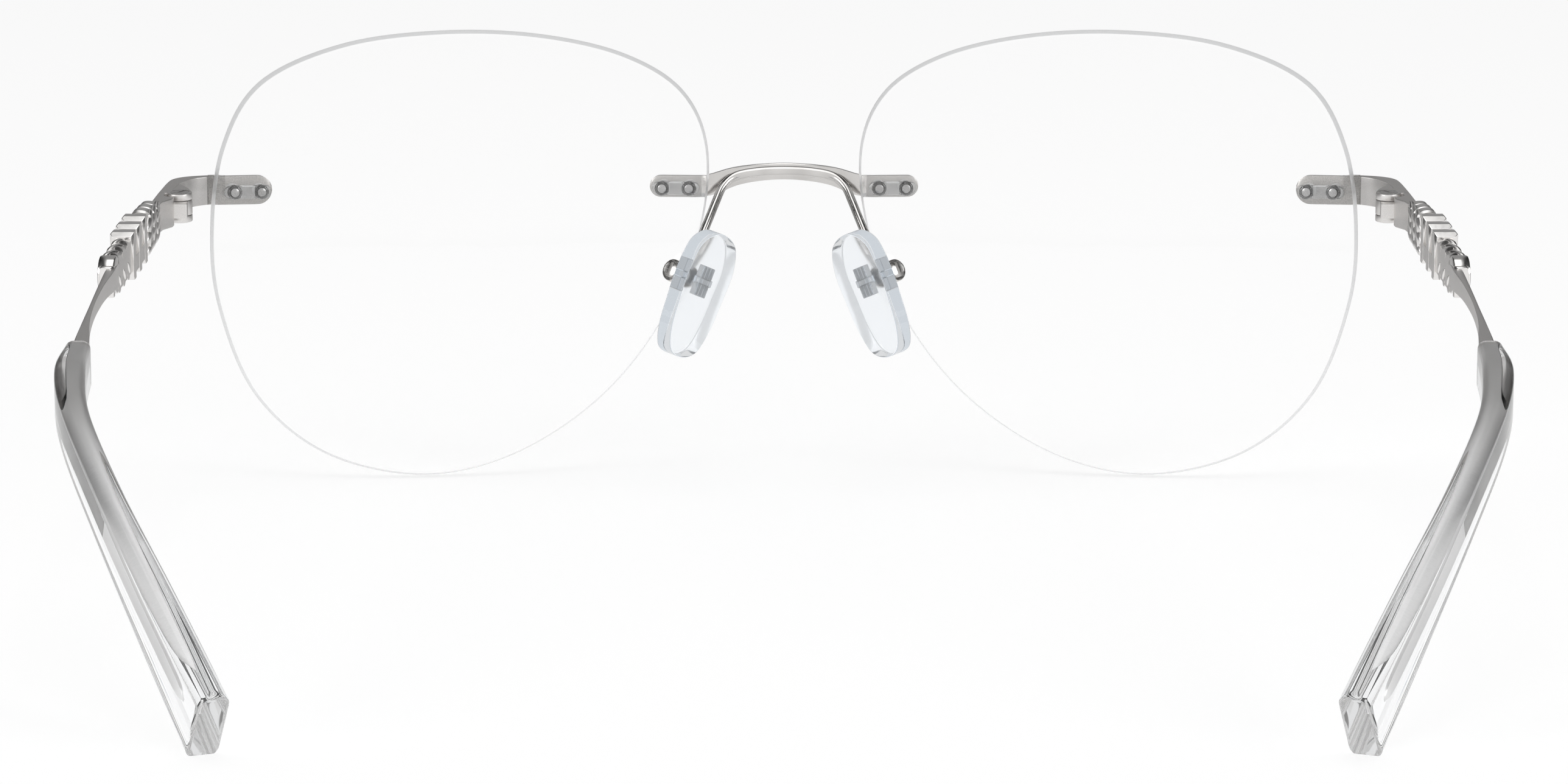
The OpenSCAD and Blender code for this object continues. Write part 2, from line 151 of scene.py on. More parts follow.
# %% [markdown]
# The background is a bright sweep of paper. The floor and the world look white to the camera and
# through the glass, while the light that falls on the pieces stays at a plain level. About half of
# the floor's look is its lit surface, so the object keeps a soft shadow. The metal needs something to
# mirror besides white: for rays that met a mirror the studio is bright behind the camera and falls
# off to grey in front. That gives the polish its dark streaks. Light Path tells what kind of ray asks.


# %% Paper that looks white
def white_for_eyes(tree):
    """Two masks: rays that show the background, and rays that met a mirror on the way."""
    path = tree.nodes.new("ShaderNodeLightPath")
    seen = calc(tree, "MAXIMUM", path.outputs["Is Camera Ray"], path.outputs["Is Glossy Ray"])
    seen = calc(tree, "MAXIMUM", seen, path.outputs["Is Transmission Ray"])
    return seen, calc(tree, "GREATER_THAN", path.outputs["Glossy Depth"], 0.5)


def along(tree, axis, coordinate="Object"):
    """One axis of a texture coordinate."""
    place = tree.nodes.new("ShaderNodeTexCoord")
    parts = tree.nodes.new("ShaderNodeSeparateXYZ")
    tree.links.new(place.outputs[coordinate], parts.inputs[0])
    return parts.outputs[axis]


GLOW_SHARE, GLOW_STRENGTH = 0.55, 1.19
paper = bpy.data.materials.new("paper_sweep")
paper.use_nodes = True
tree = paper.node_tree
tree.nodes.clear()
seen, mirrored = white_for_eyes(tree)
lit = tree.nodes.new("ShaderNodeBsdfDiffuse")
feed(tree, lit, Color=(0.9, 0.9, 0.9, 1))
glow = tree.nodes.new("ShaderNodeEmission")
falloff = ramp(tree, along(tree, "Y"), 0.05, 0.2, 1.0, 0.1)
feed(tree, glow, Color=blended(tree, "RGBA", mirrored, (1, 1, 1, 1), falloff), Strength=GLOW_STRENGTH)
output = tree.nodes.new("ShaderNodeOutputMaterial")
glowing = calc(tree, "MULTIPLY", seen, GLOW_SHARE)
feed(tree, output, Surface=mixed(tree, glowing, lit.outputs[0], glow.outputs[0]))
print("paper nodes:", len(tree.nodes))

# %% [markdown]
# The sheet itself is one large flat face under the pair. A bent sweep could hide the horizon, but the
# glow does that already, and a flat sheet takes the cleanest shadow.

# %% Floor sheet
sheet = bmesh.new()
bmesh.ops.create_grid(sheet, x_segments=1, y_segments=1, size=3.0)
floor_mesh = bpy.data.meshes.new("paper_floor")
sheet.to_mesh(floor_mesh)
sheet.free()
floor_mesh.materials.append(paper)
floor = in_scene("paper_floor", floor_mesh)
print("floor", [round(v, 1) for v in floor.dimensions], "m")

# %% [markdown]
# The walls of the studio are the world. To the eye and through glass they are plain white. Mirrors
# see them fall off to grey in front, and dark cards to the left and right. All other rays get a soft
# even light.

# %% Studio walls, as the world
world = bpy.data.worlds.new("studio")
scene.world = world
world.use_nodes = True
tree = world.node_tree
tree.nodes.clear()
seen, mirrored = white_for_eyes(tree)
forward = along(tree, "Y", "Generated")
sideways = calc(tree, "ABSOLUTE", along(tree, "X", "Generated"))
cards = blended(tree, "FLOAT", ramp(tree, forward, -0.7, -0.3, 0.0, 1.0),
                1.0, ramp(tree, sideways, 0.12, 0.3, 1.0, 0.06))
walls = calc(tree, "MULTIPLY", ramp(tree, forward, -0.3, 0.6, 1.0, 0.3), cards)
wall = tree.nodes.new("ShaderNodeBackground")
feed(tree, wall, Color=blended(tree, "FLOAT", mirrored, 1.0, walls), Strength=1.0)
soft = tree.nodes.new("ShaderNodeBackground")
feed(tree, soft, Color=(1, 1, 1, 1), Strength=0.55)
output = tree.nodes.new("ShaderNodeOutputWorld")
feed(tree, output, Surface=mixed(tree, seen, soft.outputs[0], wall.outputs[0]))
scene.view_settings.view_transform = "Standard"
scene.cycles.max_bounces = 14
scene.cycles.glossy_bounces = 12
scene.cycles.transmission_bounces = 14
print("world nodes:", len(tree.nodes))

# %% [markdown]
# Three soft boxes light the pair, as in a small product studio: a long narrow one above, which draws
# the thin bright lines on the wire, and one on either side behind the camera.


# %% Soft lamps
def lamp(name, place, aim, width, depth, watts):
    """A soft box at a place, turned to an aim, all in metres."""
    data = bpy.data.lights.new(name, "AREA")
    data.shape = "RECTANGLE"
    data.size = width
    data.size_y = depth
    data.energy = watts
    light = in_scene(name, data)
    turn = (Vector(aim) - Vector(place)).to_track_quat("-Z", "Y").to_matrix().to_4x4()
    light.matrix_world = Matrix.Translation(place) @ turn
    return light


lamps = [lamp("top_box", (0.0, -0.15, 1.1), (0, 0, 0.02), 0.45, 1.25, 1.5),
         lamp("left_box", (-0.9, -0.55, 0.5), (0, 0, 0.02), 0.5, 0.5, 3.0),
         lamp("right_box", (0.9, -0.55, 0.5), (0, 0, 0.02), 0.5, 0.5, 3.0)]
print("lamps:", [l.name for l in lamps])

# %% [markdown]
# Blasted metal is peppered with fine dents by glass beads, so it is matt and a little speckled.
# A bought texture could show that, but noise in the piece's own coordinates needs no picture and
# never stretches. The group gives a tone, a roughness and a height, and each metal sets its grain.

# %% Group for bead-blasted grain
def new_group(name, inputs, outputs):
    group = bpy.data.node_groups.new(name, "ShaderNodeTree")
    for label, value in inputs:
        socket = group.interface.new_socket(label, in_out="INPUT", socket_type="NodeSocketFloat")
        socket.default_value = value
    for label in outputs:
        group.interface.new_socket(label, in_out="OUTPUT", socket_type="NodeSocketFloat")
    return group, group.nodes.new("NodeGroupInput"), group.nodes.new("NodeGroupOutput")


def noise_in(group, scale, detail=2.0, stretch=(1, 1, 1)):
    """Noise on Object coordinates, stretched along an axis where the finish has a direction."""
    place = group.nodes.new("ShaderNodeTexCoord")
    mapping = group.nodes.new("ShaderNodeMapping")
    feed(group, mapping, Vector=place.outputs["Object"], Scale=stretch)
    noise = group.nodes.new("ShaderNodeTexNoise")
    feed(group, noise, Vector=mapping.outputs[0], Scale=scale, Detail=detail)
    return noise.outputs["Fac"]


def spread(group, value, low, high):
    """Turn noise, which lies near 0.3 to 0.7, into a span from low to high."""
    return ramp(group, value, 0.3, 0.7, low, high, "LINEAR")


blast, got, gives = new_group("bead_blast", [("Grain", 15000.0), ("Dull", 0.32), ("Matt", 0.46)],
                              ["Tone", "Roughness", "Height"])
grain = noise_in(blast, got.outputs["Grain"], 3.0)
feed(blast, gives, Tone=spread(blast, grain, 0.0, 1.0), Height=grain,
     Roughness=spread(blast, grain, got.outputs["Dull"], got.outputs["Matt"]))
print("group", blast.name, "with", len(blast.nodes), "nodes")

# %% [markdown]
# Polished metal is never perfectly even. The buffing wheel leaves faint lines and the surface rolls
# very slightly, which makes the mirrored edges waver. Clear plastic is the same: it looks alive
# because of a thin film from handling. Both are small changes in roughness and height.

# %% Groups for buffing lines and a handling film
buff, got, gives = new_group("buffing_lines", [("Mirror", 0.08), ("Worn", 0.2)],
                             ["Tone", "Roughness", "Height"])
lines = noise_in(buff, 2500.0, 3.0, (1.0, 0.12, 1.0))
roll = noise_in(buff, 350.0, 1.0)
feed(buff, gives, Tone=spread(buff, roll, 0.0, 1.0), Height=roll,
     Roughness=spread(buff, lines, got.outputs["Mirror"], got.outputs["Worn"]))

film, got, gives = new_group("handling_film", [("Clean", 0.0), ("Touched", 0.03)],
                             ["Roughness", "Height"])
touch = noise_in(film, 120.0, 3.0)
ripple = noise_in(film, 260.0, 1.0)
feed(film, gives, Height=ripple,
     Roughness=spread(film, touch, got.outputs["Clean"], got.outputs["Touched"]))
print("groups", buff.name, film.name)

# %% [markdown]
# A metal is a Principled shader with Metallic 1. Its base colour is the mirror colour, so a warm
# light grey gives nickel silver. Tone moves that colour a little between two greys, and a Bump node
# turns the height into dents. One function makes all of them, from blasted plates to screws.

# %% Metals
def start_material(name):
    material = bpy.data.materials.new(name)
    material.use_nodes = True
    tree = material.node_tree
    shader = tree.nodes["Principled BSDF"]
    return material, tree, shader, tree.nodes["Material Output"]


def use_group(tree, group, **values):
    node = tree.nodes.new("ShaderNodeGroup")
    node.node_tree = group
    feed(tree, node, **values)
    return node


def dent(tree, shader, height, depth, strength):
    bump = tree.nodes.new("ShaderNodeBump")
    feed(tree, bump, Height=height, Distance=depth, Strength=strength)
    feed(tree, shader, Normal=bump.outputs[0])


def metal(name, group, dark, light, depth, strength, **values):
    material, tree, shader, _ = start_material(name)
    effect = use_group(tree, group, **values)
    tone = blended(tree, "RGBA", effect.outputs["Tone"], (*dark, 1), (*light, 1))
    feed(tree, shader, **{"Metallic": 1.0, "Base Color": tone, "Roughness": effect.outputs["Roughness"]})
    dent(tree, shader, effect.outputs["Height"], depth, strength)
    return material


blasted = metal("blasted_silver", blast, (0.66, 0.645, 0.63), (0.80, 0.78, 0.765), 0.00002, 0.2)
# Painted shade: a darker blasted metal for the end plates, which are seen through the lens.
plate_metal_painted_shade = metal("blasted_plate_painted_shade", blast, (0.31, 0.30, 0.29), (0.50, 0.485, 0.47), 0.00002, 0.25,
                    Grain=9000.0)
bridge_plate = metal("bridge_plate", blast, (0.42, 0.41, 0.40), (0.56, 0.545, 0.53), 0.00002, 0.2)
pin_steel = metal("pin_steel", buff, (0.34, 0.335, 0.33), (0.46, 0.455, 0.45), 0.00002, 0.1,
                  Mirror=0.15, Worn=0.3)
polished = metal("polished_silver", buff, (0.57, 0.555, 0.54), (0.65, 0.635, 0.62), 0.00002, 0.1)
cut_metal = metal("cut_silver", buff, (0.76, 0.745, 0.73), (0.83, 0.815, 0.80), 0.00002, 0.1)
screw_metal = metal("turned_steel", buff, (0.50, 0.49, 0.48), (0.62, 0.61, 0.60), 0.00002, 0.15,
                    Mirror=0.14, Worn=0.3)
cast_metal = metal("cast_silver", buff, (0.80, 0.785, 0.77), (0.88, 0.865, 0.85), 0.00003, 0.15,
                   Mirror=0.28, Worn=0.42)
core_metal = metal("core_wire", blast, (0.86, 0.855, 0.85), (0.94, 0.935, 0.93), 0.00002, 0.1,
                   Dull=0.4, Matt=0.5)
print("metals:", [m.name for m in (blasted, plate_metal_painted_shade, bridge_plate, pin_steel, polished, cut_metal,
                                   screw_metal, cast_metal, core_metal)])

# %% [markdown]
# Inside the clear tips the core is pale at its end and painted a little darker at the front: painted
# shade. A second colour is blended in along the piece. The blend is on Object coordinates, which are
# metres on the table here, so the place of the change can be read off the model.

# %% Painted shade along the core
def painted_shade_along(material, colour, start, stop):
    """Blend a metal's colour into another one between two depths, in metres along Y."""
    tree = material.node_tree
    base = tree.nodes["Principled BSDF"].inputs["Base Color"]
    own_colour = base.links[0].from_socket
    fade = ramp(tree, along(tree, "Y"), start, stop, 0.0, 1.0)
    tree.links.new(blended(tree, "RGBA", fade, own_colour, (*colour, 1)), base)
    return material


# Painted shade: the front of the core is blended to a darker grey than its end.
painted_shade_along(core_metal, (0.74, 0.73, 0.72), -0.046, -0.032)
# Painted shade: a dark metal for the outer side of the core's front part.
painted_shade_metal = metal("core_painted_shade", buff, (0.16, 0.157, 0.154), (0.28, 0.275, 0.27), 0.00002, 0.1,
                     Mirror=0.12, Worn=0.25)
print("tinted:", core_metal.name, "and beside it:", painted_shade_metal.name)

# %% [markdown]
# Lenses, tips, plugs and pads are clear. A Principled shader with Transmission 1 bends the light as
# the real plastic does. Glass casts a hard dark shadow in a path tracer, because light from lamps
# can't be found through it. So rays that only ask for shadow meet a Transparent shader instead. The
# lenses have a coating that all but stops reflections, so their specular level is low. Light that
# runs to and fro inside a tip would go on for ever, so after some turns it counts as pale light.

# %% Clear plastics
PALE_SHARE = 0.75


def clear(name, colour, index, shade, bumpy=0.0, turns=8, **values):
    material, tree, shader, output = start_material(name)
    effect = use_group(tree, film, **values)
    feed(tree, shader, **{"Base Color": (*colour, 1), "Transmission Weight": 1.0, "IOR": index,
                          "Roughness": effect.outputs["Roughness"]})
    if bumpy:
        dent(tree, shader, effect.outputs["Height"], 0.00002, bumpy)
    path = tree.nodes.new("ShaderNodeLightPath")
    through = tree.nodes.new("ShaderNodeBsdfTransparent")
    feed(tree, through, Color=(*shade, 1))
    lost = tree.nodes.new("ShaderNodeEmission")
    feed(tree, lost, Color=(*[PALE_SHARE * part for part in colour], 1))
    seen = mixed(tree, path.outputs["Is Shadow Ray"], shader.outputs[0], through.outputs[0])
    deep = calc(tree, "GREATER_THAN", path.outputs["Ray Depth"], turns + 0.5)
    feed(tree, output, Surface=mixed(tree, deep, seen, lost.outputs[0]))
    return material


lens_clear = clear("clear_lens", (1.0, 1.0, 1.0), 1.5, (0.985, 0.985, 0.985), Touched=0.004)
lens_clear.node_tree.nodes["Principled BSDF"].inputs["Specular IOR Level"].default_value = 0.1
tip_clear = clear("clear_tip", (0.985, 0.99, 0.995), 1.49, (0.93, 0.935, 0.94), 0.05, Touched=0.04)
plug_clear = clear("clear_plug", (0.94, 0.945, 0.95), 1.5, (0.9, 0.9, 0.9), 0.1,
                   Clean=0.04, Touched=0.12)
pad_glossy = clear("pad_glossy", (0.89, 0.93, 0.97), 1.42, (0.93, 0.94, 0.95), 0.05, 2,
                   Clean=0.01, Touched=0.06)
pad_frosted = clear("pad_frosted", (0.95, 0.96, 0.97), 1.42, (0.93, 0.94, 0.95), 0.2, 2,
                    Clean=0.12, Touched=0.2)
lug_clear = clear("lug_clear", (0.52, 0.525, 0.53), 1.58, (0.85, 0.85, 0.85), 0.1, Touched=0.05)
print("clear:", [m.name for m in (lens_clear, tip_clear, plug_clear, pad_glossy, pad_frosted,
                                  lug_clear)])

# %% [markdown]
# The lens edge is ground on a wheel and left frosted, so it is the one part of a lens that shows: a
# thin pale line that blurs what lies behind it. It is the same clear plastic with a rough surface, a
# little greyed, with the fine grain of the wheel in its roughness and bump.

# %% Ground lens edge
ground_edge, tree, shader, output = start_material("ground_edge")
effect = use_group(tree, blast, Grain=5000.0, Dull=0.3, Matt=0.5)
feed(tree, shader, **{"Base Color": (0.89, 0.895, 0.90, 1), "Transmission Weight": 0.75, "IOR": 1.5,
                      "Roughness": effect.outputs["Roughness"]})
dent(tree, shader, effect.outputs["Height"], 0.00002, 0.2)
print("edge:", ground_edge.name)

# %% [markdown]
# Every piece is drawn for the right side, because the pair is symmetric. The left one is the same
# shape, mirrored with a negative scale, and its normals are recalculated, because mirroring turns a
# mesh inside out. Then the stand matrix puts the vertices in place, so the object itself stays at
# the origin. Smooth shading would bulge the flats beside a bevel, so edges are marked sharp by angle
# and a Weighted Normal modifier lets the large faces decide how the small bevels shade.

# %% Finishing a piece
PAIR = ((-1, "left"), (1, "right"))


def make_piece(name, shapes, finishes, body, node, side=1, sharp=32):
    """Join shapes drawn in worn millimetres into one object that stands for a node."""
    whole = bmesh.new()
    for shape in shapes:
        passing = bpy.data.meshes.new("passing")
        shape.to_mesh(passing)
        whole.from_mesh(passing)
        bpy.data.meshes.remove(passing)
    if side < 0:
        bmesh.ops.scale(whole, vec=(-1, 1, 1), verts=whole.verts)
    bmesh.ops.transform(whole, matrix=STAND, verts=whole.verts)
    bmesh.ops.recalc_face_normals(whole, faces=whole.faces)
    mesh = bpy.data.meshes.new(name)
    whole.to_mesh(mesh)
    whole.free()
    for finish in finishes:
        mesh.materials.append(finish)
    mesh.polygons.foreach_set("use_smooth", [True] * len(mesh.polygons))
    mesh.set_sharp_from_angle(angle=math.radians(sharp))
    piece = in_scene(name, mesh)
    flats = piece.modifiers.new("flat_faces", "WEIGHTED_NORMAL")
    flats.keep_sharp = True
    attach(piece, body)
    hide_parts(node)
    return piece


def make_pair(stem, shapes, finishes, body, sharp=32):
    """The left and the right copy of one drawing. The body's name may hold a place for the side."""
    pair = [make_piece(f"{stem}_{word}_look", shapes, finishes, body.format(word),
                       f"{stem}_{word}", side, sharp) for side, word in PAIR]
    print(stem, "faces each:", len(pair[0].data.polygons))
    return pair

# %% [markdown]
# A lens blank is a shell between two spheres with one centre behind it. The drawing starts with the
# rim as a flat line. Extruding its edges and scaling them inwards gives rings of faces, which could
# also come from a grid, but rings follow the rim and keep the edge clean. The rings are thrown onto
# the back sphere, and one extrusion, scaled from the centre, makes the front and the radial edge.

# %% Smooth line through points
def flowing(stations, steps=6, closed=False):
    """A smooth line through stations, which may carry a width and a height besides a place."""
    s = [np.array(one, dtype=float) for one in stations]
    line = []
    for i in range(len(s) if closed else len(s) - 1):
        b = s[i]
        c = s[(i + 1) % len(s)]
        a = s[i - 1] if closed or i > 0 else 2 * b - c
        d = s[(i + 2) % len(s)] if closed or i + 2 < len(s) else 2 * c - b
        for k in range(steps):
            u = k / steps
            line.append(0.5 * (2 * b + (c - a) * u + (2 * a - 5 * b + 4 * c - d) * u * u
                               + (3 * b - a - 3 * c + d) * u ** 3))
    if not closed:
        line.append(s[-1])
    return line


LENS_RIM = [(27.8, 2.5), (26.6, 12), (22.4, 19.3), (13.2, 23.4), (2, 24.8), (-9.2, 24.4),
            (-18.9, 22.2), (-25.4, 18), (-28, 11), (-26.6, 1), (-21.6, -9.3), (-14.5, -17.3),
            (-5, -23), (5, -24.8), (15.4, -22.2), (23, -15.6), (26.9, -6)]
rim_line = flowing(LENS_RIM, 10, closed=True)
print("rim points:", len(rim_line))

# %% [markdown]
# The skin starts as the rim line alone. Seven rings of faces grow inwards from it and a fan closes the
# middle. Then every vertex is thrown onto the back sphere.


# %% Lens skin and thickness
def new_of(result, kind):
    return [g for g in result["geom"] if isinstance(g, kind)]


LENS_BACK, LENS_FRONT = 135.0, 137.0
LENS_CENTRE = Vector((0, -LENS_BACK, 0))
lens = bmesh.new()
corners = [lens.verts.new((x, 0, z)) for x, z in rim_line]
ring = [lens.edges.new(ends) for ends in zip(corners, corners[1:] + corners[:1])]
reach = 1.0
for share in (0.985, 0.94, 0.82, 0.66, 0.48, 0.3, 0.13):
    grown = bmesh.ops.extrude_edge_only(lens, edges=ring)
    inner = set(new_of(grown, bmesh.types.BMVert))
    ring = [e for e in new_of(grown, bmesh.types.BMEdge) if set(e.verts) <= inner]
    bmesh.ops.scale(lens, vec=(share / reach, 1, share / reach), verts=list(inner))
    reach = share
middle = bmesh.ops.contextual_create(lens, geom=ring)["faces"]
bmesh.ops.poke(lens, faces=middle)
for v in lens.verts:
    v.co = LENS_CENTRE + (v.co - LENS_CENTRE).normalized() * LENS_BACK
front = bmesh.ops.extrude_face_region(lens, geom=list(lens.faces))
at_centre = Matrix.Translation(LENS_CENTRE)
grow = at_centre @ Matrix.Scale(LENS_FRONT / LENS_BACK, 4) @ at_centre.inverted()
bmesh.ops.transform(lens, matrix=grow, verts=new_of(front, bmesh.types.BMVert))
bmesh.ops.recalc_face_normals(lens, faces=lens.faces)
print("lens faces:", len(lens.faces))

# %% [markdown]
# The edges get a tiny safety bevel, as every ground lens has. One helper rounds the edges that it is
# given, and the other finds all sharp edges by their angle.

# %% Bevel
def rounded(shape, geom, width, steps, affect="EDGES"):
    """Bevel edges, or corners with VERTICES, to a round of the given width."""
    bmesh.ops.bevel(shape, geom=geom, offset=width, offset_type="OFFSET", segments=steps, profile=0.5,
                    affect=affect, material=-1, clamp_overlap=True)
    return shape


def soften(shape, width, steps=2, angle=30):
    """Round every edge that turns by more than the angle."""
    edges = [e for e in shape.edges
             if len(e.link_faces) == 2 and e.calc_face_angle() > math.radians(angle)]
    return rounded(shape, edges, width, steps)


print("bevels:", rounded.__name__, soften.__name__)

# %% [markdown]
# The four holes for the pins are drilled with a Boolean, because a drill is exactly that, and the
# result is taken back into the bmesh. The drills are plain round bars.

# %% Bars and drills
def rod(diameter, start, end, rounding=0.1, segments=32):
    """A round bar between two points, with softened ends."""
    shape = bmesh.new()
    start, end = Vector(start), Vector(end)
    turn = (end - start).to_track_quat("Z", "Y").to_matrix().to_4x4()
    bmesh.ops.create_cone(shape, cap_ends=True, segments=segments, radius1=diameter / 2,
                          radius2=diameter / 2, depth=(end - start).length,
                          matrix=Matrix.Translation((start + end) / 2) @ turn)
    return soften(shape, rounding, angle=60) if rounding else shape


def placed(shape, matrix):
    bmesh.ops.transform(shape, matrix=matrix, verts=shape.verts)
    return shape


def carve(shape, cutters):
    """Cut other shapes out of a shape. The cutters are used up."""
    holders = []
    for part in [shape] + cutters:
        bmesh.ops.recalc_face_normals(part, faces=part.faces)
        mesh = bpy.data.meshes.new("carving")
        part.to_mesh(mesh)
        part.free()
        holders.append(in_scene("carving", mesh))
    for tool in holders[1:]:
        cut = holders[0].modifiers.new("cut", "BOOLEAN")
        cut.operation = "DIFFERENCE"
        cut.solver = "EXACT"
        cut.object = tool
    result = bmesh.new()
    result.from_object(holders[0], bpy.context.evaluated_depsgraph_get())
    for holder in holders:
        mesh = holder.data
        bpy.data.objects.remove(holder)
        bpy.data.meshes.remove(mesh)
    return result


print("tools:", rod.__name__, placed.__name__, carve.__name__)

# %% [markdown]
# A lens leans back a little and is turned outwards, as the face is. The pins stand square to its
# curved skin, so their place is found by turning about the centre of the sphere. The clear skin and
# the ground edge are told apart by the way a face looks: along the radius, or across it.

# %% Drilled lens
def turned(degrees, axis):
    return Matrix.Rotation(math.radians(degrees), 4, axis)


LENS_T = LENS_FRONT - LENS_BACK
LENS_LEAN, LENS_TURN, LENS_X = -8, -5, 36.1
LEANING = turned(LENS_LEAN, "X")
AT_LENS = LEANING @ Matrix.Translation((LENS_X, 0, 0)) @ turned(LENS_TURN, "Z")
PIN_SIDES, PIN_D, SLEEVE_D = (-1.5, 1.5), 1.0, 1.6


def on_lens(across, height):
    """The place on the lens, square to its face, with Y forward out of the lens."""
    up = math.asin(height / LENS_BACK)
    out = -math.asin(across / (LENS_BACK * math.cos(up)))
    return (AT_LENS @ at_centre @ Matrix.Rotation(out, 4, "Z") @ Matrix.Rotation(up, 4, "X")
            @ at_centre.inverted())


def painted(shape, choose):
    """Give each face the number of its finish by a rule."""
    shape.normal_update()
    for f in shape.faces:
        f.material_index = choose(f)
    return shape


AT_NOSE_PINS, AT_END_PINS = on_lens(-24, 7.25), on_lens(23.5, 7.1)
soften(lens, 0.12, 2, 55)
placed(lens, AT_LENS)
drills = [placed(rod(SLEEVE_D, (x, -2, 0), (x, 4, 0), 0), at)
          for at in (AT_NOSE_PINS, AT_END_PINS) for x in PIN_SIDES]
lens = carve(lens, drills)
bmesh.ops.dissolve_degenerate(lens, dist=0.001, edges=lens.edges)
centre = AT_LENS @ LENS_CENTRE
painted(lens, lambda f: int(abs(f.normal.dot((f.calc_center_median() - centre).normalized())) <= 0.9))
print("ground faces:", sum(f.material_index for f in lens.faces))

# %% [markdown]
# Both lenses come from this one drawing. The left one is its mirror image, as in a real pair.

# %% Lenses
make_pair("lens", [lens], [lens_clear, ground_edge], "front", sharp=40)

# %% [markdown]
# Small pieces are boxes and flat bars. A bar with full round ends starts as one square face whose
# corners are bevelled until they meet, and is then extruded.

# %% Boxes and flat bars
def pulled(shape, faces, by):
    """Extrude faces along a vector. Gives the new vertices."""
    grown = new_of(bmesh.ops.extrude_face_region(shape, geom=faces), bmesh.types.BMVert)
    bmesh.ops.translate(shape, vec=by, verts=grown)
    return grown


def round_bar(length, height, near, far, rounding=0.1, steps=8):
    """A flat bar with full round ends, along X, from near to far in Y."""
    shape = bmesh.new()
    bmesh.ops.create_grid(shape, x_segments=1, y_segments=1, size=0.5,
                          matrix=Matrix.Translation((0, near, 0)) @ turned(90, "X"))
    bmesh.ops.scale(shape, vec=(length, 1, height), verts=shape.verts)
    rounded(shape, list(shape.verts), height / 2 - 0.01, steps, "VERTICES")
    pulled(shape, list(shape.faces), (0, far - near, 0))
    return soften(shape, rounding, 3, 50)


def cuboid(low, high):
    """A plain box between two corners."""
    shape = bmesh.new()
    bmesh.ops.create_cube(shape, size=1.0)
    bmesh.ops.scale(shape, vec=[b - a for a, b in zip(low, high)], verts=shape.verts)
    bmesh.ops.translate(shape, vec=[(a + b) / 2 for a, b in zip(low, high)], verts=shape.verts)
    return shape


def soft_block(low, high, rounding=0.1):
    """A box between two corners with softened edges."""
    return soften(cuboid(low, high), rounding)


print("solids:", [f.__name__ for f in (pulled, round_bar, cuboid, soft_block)])

# %% [markdown]
# Rimless lenses hang on pins. Each pair of pins is pushed into a clear plug from behind: two sleeves
# that fill the drilled holes and a flange that joins them.

# %% Clear plugs
def plug(at):
    sleeves = [placed(rod(SLEEVE_D - 0.02, (x, -1.3, 0), (x, LENS_T - 0.03, 0), 0.35), at)
               for x in PIN_SIDES]
    flange = placed(round_bar(5.3, 1.45, -0.63, -0.03, 0.14), at)
    saddle = placed(soft_block((-0.75, -0.95, -0.68), (0.75, -0.5, 0.68), 0.1), at)
    return [flange, saddle] + sleeves


make_pair("bushing_nasal", plug(AT_NOSE_PINS), [plug_clear], "front")
make_pair("bushing_temporal", plug(AT_END_PINS), [plug_clear], "front")

# %% [markdown]
# The bridge is one polished strip: a flat plate on each lens and an arched bar between them. A curve
# with a bevel object could do it, but the strip changes its width, its height and its lean all the
# way. So it is swept: a square face with rounded corners is extruded from section to section, and
# every new section is moved by the matrix from the last place to the next.

# %% Sweeping a section
def section_frame(place, heading, up):
    heading = heading.normalized()
    side = up.cross(heading).normalized()
    turn = Matrix((side, heading.cross(side), heading)).transposed().to_4x4()
    return Matrix.Translation(place) @ turn


def swept(stations, corner, steps=3, ends=0.0):
    """A bar through stations of [x, y, z, width, height], or with an up direction after them."""
    line = [np.append(s, (0, 0, 1)) if len(s) == 5 else np.array(s) for s in stations]
    frames = []
    for i, s in enumerate(line):
        heading = Vector(line[min(i + 1, len(line) - 1)][:3]) - Vector(line[max(i - 1, 0)][:3])
        stretch = Matrix.Diagonal((s[3], s[4], 1, 1))
        frames.append(section_frame(Vector(s[:3]), heading, Vector(s[5:8])) @ stretch)
    shape = bmesh.new()
    bmesh.ops.create_grid(shape, x_segments=1, y_segments=1, size=0.5)
    corner = min(corner, 0.49 * line[0][3], 0.49 * line[0][4])
    size = Matrix.Diagonal((line[0][3], line[0][4], 1, 1))
    bmesh.ops.transform(shape, matrix=size, verts=shape.verts)
    rounded(shape, list(shape.verts), corner, steps, "VERTICES")
    bmesh.ops.transform(shape, matrix=frames[0] @ size.inverted(), verts=shape.verts)
    tail = head = shape.faces[:][0]
    for old, new in zip(frames, frames[1:]):
        grown = bmesh.ops.extrude_face_region(shape, geom=[head])
        if head is not tail:
            bmesh.ops.delete(shape, geom=[head], context="FACES_ONLY")
        head = new_of(grown, bmesh.types.BMFace)[0]
        bmesh.ops.transform(shape, matrix=new @ old.inverted(), verts=new_of(grown, bmesh.types.BMVert))
    if ends:
        rims = [e for e in shape.edges
                if len(e.link_faces) == 2 and any(len(f.verts) > 4 for f in e.link_faces)]
        rounded(shape, rims, ends, 3)
    bmesh.ops.recalc_face_normals(shape, faces=shape.faces)
    return shape


print("sweeps with", section_frame.__name__, "and", swept.__name__)

# %% [markdown]
# The line of the bridge runs along the plate on one lens, over the arch and down to the other plate.
# The plates end in a half circle. It comes from a few stations whose height grows as on a circle.

# %% Bridge bar
PLATE_T = 0.85


def plate_stations(at, inner, outer, height):
    """Stations along a plate on the lens front. The height swells in a half circle at the inner end."""
    turn = 1 if outer > inner else -1
    up = at.to_3x3() @ Vector((0, 0, 1))
    middle = LENS_T + PLATE_T / 2
    half = height / 2
    line = []
    for share in (0.004, 0.03, 0.1, 0.22, 0.4, 0.65, 1.0):
        line.append((inner + turn * half * share, height * math.sqrt(1 - (1 - share) ** 2)))
    line += [(inner + (outer - inner) * share, height) for share in (0.5, 0.75, 1.0)]
    return [[*(at @ Vector((x, middle, 0))), PLATE_T, tall, *up] for x, tall in line]


